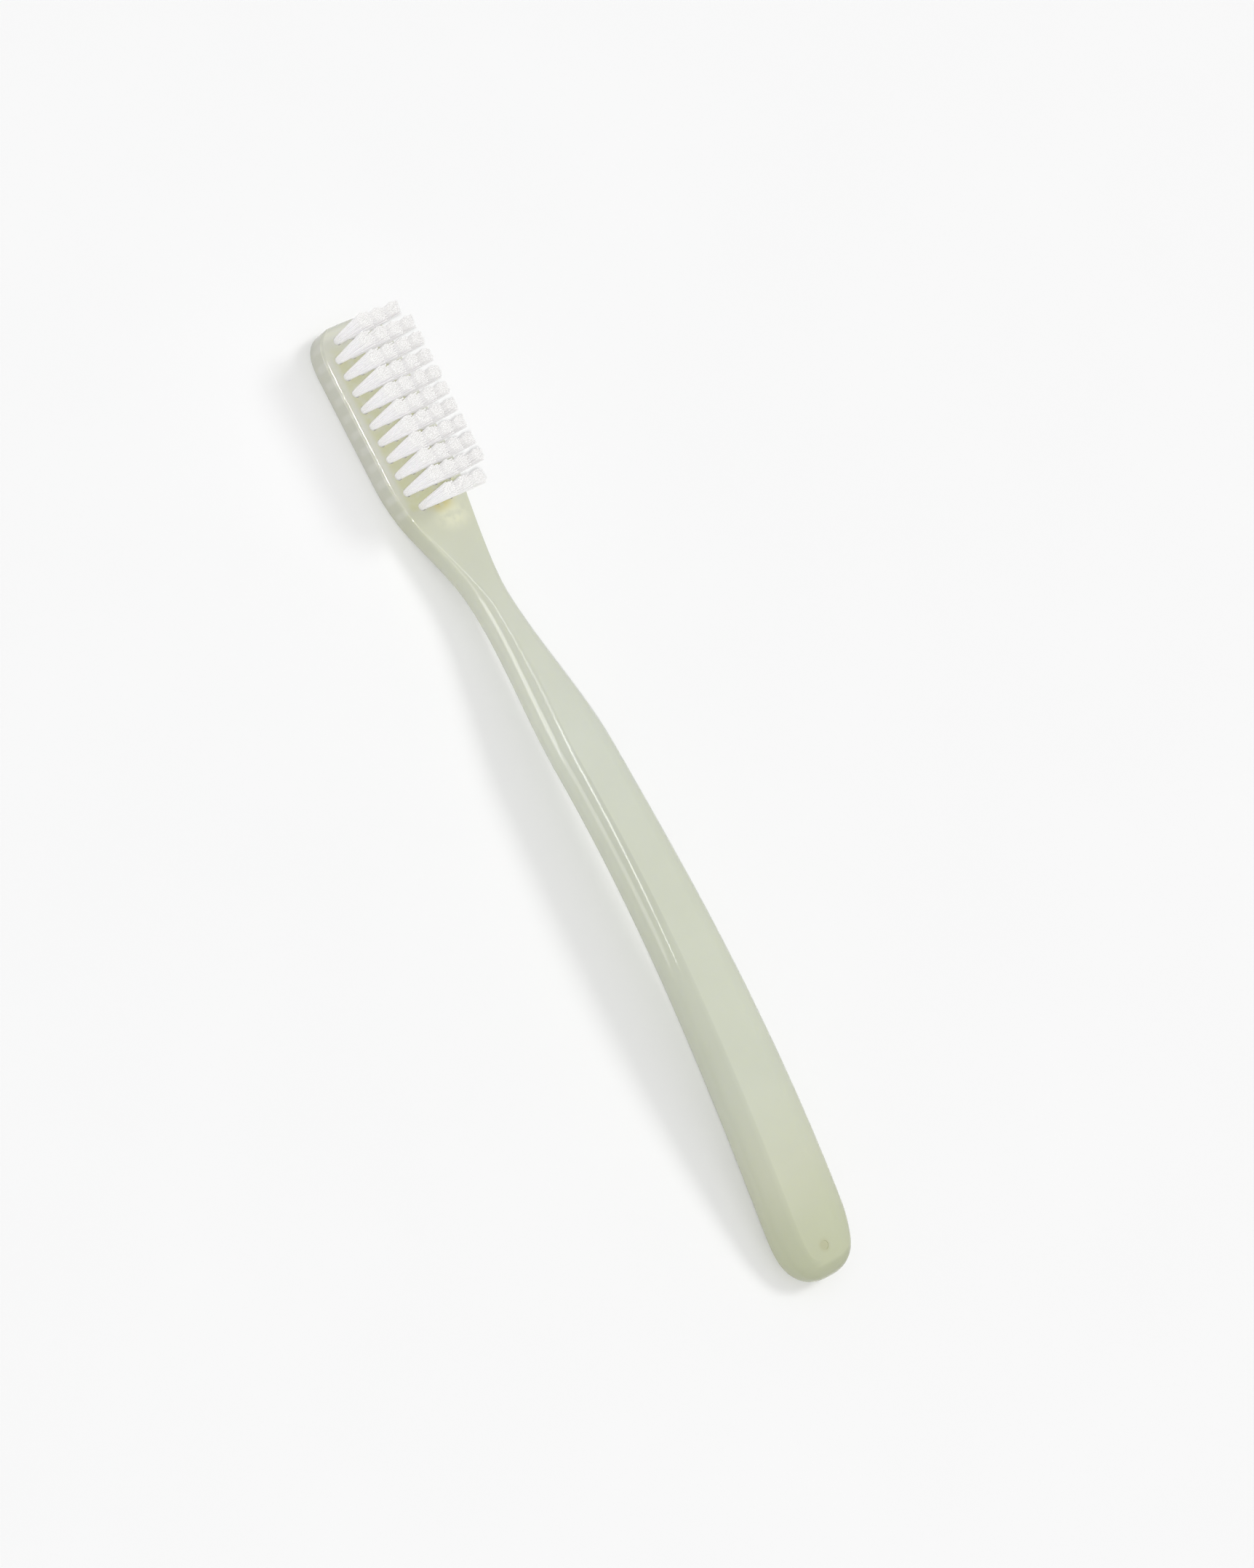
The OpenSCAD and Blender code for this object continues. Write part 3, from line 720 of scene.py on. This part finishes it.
fanned = maths("MULTIPLY_ADD", outwards, maths("MULTIPLY", spread, fan_share), 1.0)
side_x = maths("MULTIPLY", maths("MULTIPLY_ADD", root_x, widened, settled_x), squared)
x = maths("MULTIPLY_ADD", side_x, fanned, stray_x)
side_y = maths("MULTIPLY", maths("MULTIPLY_ADD", root_y, widened, settled_y), squared)
y = maths("MULTIPLY_ADD", maths("MULTIPLY", side_y, maths("SINE", turn)), leg, stray_y)
laid = add_node(tuft_tree, "GeometryNodeSetPosition", {
    "Geometry": loose.outputs[0],
    "Position": add_node(tuft_tree, "ShaderNodeCombineXYZ", {"X": x, "Y": y, "Z": z}).outputs[0]})
profile = add_node(tuft_tree, "GeometryNodeCurvePrimitiveCircle", {
    "Resolution": filament_sides, "Radius": maths("MULTIPLY", given["Filament Diameter"], 0.5)})
thickened = maths("MULTIPLY_ADD", widened, thicker_share, 1.0)
narrowed = maths("MULTIPLY_ADD", tip, -tip_narrows, 1.0)
filaments = add_node(tuft_tree, "GeometryNodeCurveToMesh", {
    "Curve": laid.outputs[0], "Profile Curve": profile.outputs[0],
    "Scale": maths("MULTIPLY", thickened, narrowed), "Fill Caps": True})
placed = add_node(tuft_tree, "GeometryNodeSetPosition", {
    "Geometry": filaments.outputs[0], "Offset": given["Place"]})
smooth = add_node(tuft_tree, "GeometryNodeSetShadeSmooth", {0: placed.outputs[0]})
real = add_node(tuft_tree, "GeometryNodeRealizeInstances", {"Geometry": smooth.outputs[0]})
finished = add_node(tuft_tree, "GeometryNodeSetMaterial", {
    "Geometry": real.outputs[0], "Material": given["Material"]})
add_node(tuft_tree, "NodeGroupOutput", {0: finished.outputs[0]})

near_y = min(middle.y for middle in tuft_places.values())
end_x = max(middle.x for middle in tuft_places.values())
tip_w_wear, far_lean = 0.06 * mm, 0.35 * mm
end_splay, end_lean = 0.3 * mm, 0.25 * mm
for seed, name in enumerate(tuft_nodes):
    tuft = mesh_piece(name.replace("tuft", "filaments"), [], [])
    modifier = tuft.modifiers.new("tuft", "NODES")
    modifier.node_group = tuft_tree
    middle = tuft_places[name]
    # Use has splayed the near tufts most, and worn the tips of the far and last ones unevenly
    far_share = (middle.y - near_y) / (-2 * near_y)
    wear = np.random.default_rng(seed).uniform(-1, 1, 3)
    tip_w = near_tip_w + (far_tip_w - near_tip_w) * far_share + tip_w_wear * wear[0]
    ragged = near_ragged + (far_ragged - near_ragged) * far_share
    lean = Vector((wear[1] * tuft_lean, wear[2] * tuft_lean + far_lean * far_share, 0))
    if middle.x == end_x:
        ragged = end_ragged
        tip_w += end_splay * far_share
        lean.x += end_lean
    set_inputs(modifier, hole_diameter=hole_d, hole_depth=hole_depth, fold_thickness=fold_t,
               anchor_height=anchor_h, anchor_thickness=anchor_t, filament_diameter=filament_d,
               filament_pitch=filament_pitch, trim_length=trim_l, tip_diameter=tip_w, squareness=tip_square,
               lean=lean, ragged=ragged, jitter=tip_jitter, seed=seed,
               place=middle, material=nylon)
    plain_mesh(tuft)
    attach(tuft, "root")
    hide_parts(name)


# Floor and light
# A white paper sweep under soft daylight from the far side, light from all round, and a fill from
# the near side. Strip lamps that show only in gloss draw the bright lines along the plastic.
floor_r, floor_corners = 3.0, 64
floor_gap = 0.03 * mm
cloud_w = 40 * mm
# Matt white card, rolled out flat. It is even, with the faintest clouds, and takes soft shadows.
paper = bpy.data.materials.new("white_paper")
paper.use_nodes = True
paper.node_tree.nodes.clear()
tree = paper.node_tree
place = add_node(tree, "ShaderNodeTexCoord").outputs["Object"]
clouds = add_node(tree, "ShaderNodeTexNoise", {"Vector": place, "Scale": 1 / cloud_w})
sheet = add_node(tree, "ShaderNodeMix", {
    "Factor": clouds.outputs["Fac"], 6: linear("#F2F2F2"), 7: linear("#F4F4F4")}, data_type="RGBA")
matt = add_node(tree, "ShaderNodeBsdfDiffuse", {"Color": sheet.outputs[2]})
add_node(tree, "ShaderNodeOutputMaterial", {"Surface": matt.outputs["BSDF"]})
floor = mesh_piece("floor", [(floor_r * cos(a), floor_r * sin(a), -floor_gap)
                             for a in np.linspace(0, 2 * pi, floor_corners + 1)[:-1]],
                   [tuple(range(floor_corners))])
floor.data.materials.append(paper)

world = bpy.data.worlds.new("studio")
bpy.context.scene.world = world
world.use_nodes = True
world.node_tree.nodes.clear()
tree = world.node_tree
# The room lights the brush faintly, and shows as a white backdrop to the camera and in gloss
room_level = 0.36
rays = add_node(tree, "ShaderNodeLightPath").outputs
mirrored = add_node(tree, "ShaderNodeMath", {
    0: rays["Is Glossy Ray"], 1: rays["Is Transmission Ray"]}, operation="MAXIMUM")
seen = add_node(tree, "ShaderNodeMath", {
    0: rays["Is Camera Ray"], 1: mirrored.outputs[0]}, operation="MAXIMUM")
lighting = add_node(tree, "ShaderNodeBackground", {"Color": linear("#FFFFFF"), "Strength": room_level})
backdrop = add_node(tree, "ShaderNodeBackground", {"Color": linear("#F9F9F9"), "Strength": 1.0})
both_worlds = add_node(tree, "ShaderNodeMixShader", {
    0: seen.outputs[0], 1: lighting.outputs[0], 2: backdrop.outputs[0]})
add_node(tree, "ShaderNodeOutputWorld", {"Surface": both_worlds.outputs[0]})

# Each lamp's share is of the light on the floor, and its width is in degrees. The fill comes from
# the camera as the tufts see it, so they hide the shadow that it throws.
head_middle = Vector((nose_corner.x + head_l / 2, 0, head_t))
for name, come_from, share, width in (
        ("daylight", Vector((-0.05, 0.60, 0.80)), 0.2, 20),
        ("overhead", Vector((0, 0, 1)), 0.10, 100),
        ("front_fill", camera.matrix_world.translation - head_middle, 0.395, 2)):
    light = bpy.data.lights.new(name, "SUN")
    light.angle = radians(width)
    light.energy = share * pi / come_from.normalized().z
    lamp = bpy.data.objects.new(name, light)
    bpy.context.scene.collection.objects.link(lamp)
    lamp.matrix_world = come_from.to_track_quat("Z", "Y").to_matrix().to_4x4()
    lamp.visible_glossy = False

# Each strip runs from its first to its second place, given by how far it leans towards the tail
# and towards the near side, in degrees from straight up, as seen from the point under it. The two
# strips of the head stand close by and have a honeycomb grid, so that the grip doesn't mirror them.
strip_away, head_strip_away = 2.0, 0.5
open_front, honeycomb = 180, 9
near_edge = Vector((head_middle.x, -head_w / 2, head_t))
for name, under, away, first, second, width, radiance, spread in (
        ("neck_edge_strip", Vector(), strip_away, (-30, -30), (-17, -14.4), 3.5, 4.2, open_front),
        ("grip_edge_strip", Vector(), strip_away, (-17, -14.4), (-3, -0.5), 3.5, 9, open_front),
        ("tail_edge_strip", Vector(), strip_away, (-3, -0.5), (3, 3), 3.5, 7, open_front),
        ("neck_side_strip", Vector(), strip_away, (-36, 40), (-14, 40), 34, 4.8, open_front),
        ("grip_side_strip", Vector(), strip_away, (-14, 40), (1, 40), 28, 2.2, open_front),
        ("head_band_strip", near_edge, head_strip_away, (-10.3, 1.5), (-2.7, 1.5), 4, 170, honeycomb),
        ("head_edge_strip", near_edge, head_strip_away, (-10.3, 25), (-2.7, 25), 20, 7, honeycomb)):
    ends = [Vector((sin(radians(x)), -sin(radians(y)), cos(radians(x)) * cos(radians(y)))).normalized()
            * away for x, y in (first, second)]
    middle = (ends[0] + ends[1]) / 2
    length_way = (ends[1] - ends[0]).normalized()
    aim = middle.normalized()
    light = bpy.data.lights.new(name, "AREA")
    light.shape = "RECTANGLE"
    light.size, light.size_y = (ends[1] - ends[0]).length, away * radians(width)
    light.spread = radians(spread)
    # A grid gathers the same energy into a narrow beam
    half_beam = radians(spread / 2)
    gathered = 1 if spread == open_front else tan(half_beam) / (tan(half_beam) - half_beam)
    light.energy = radiance * pi * light.size * light.size_y / gathered
    lamp = bpy.data.objects.new(name, light)
    bpy.context.scene.collection.objects.link(lamp)
    lamp.matrix_world = Matrix.Translation(under + middle) @ Matrix(
        (length_way, aim.cross(length_way), aim)).transposed().to_4x4()
    lamp.visible_diffuse = False
    lamp.visible_camera = False
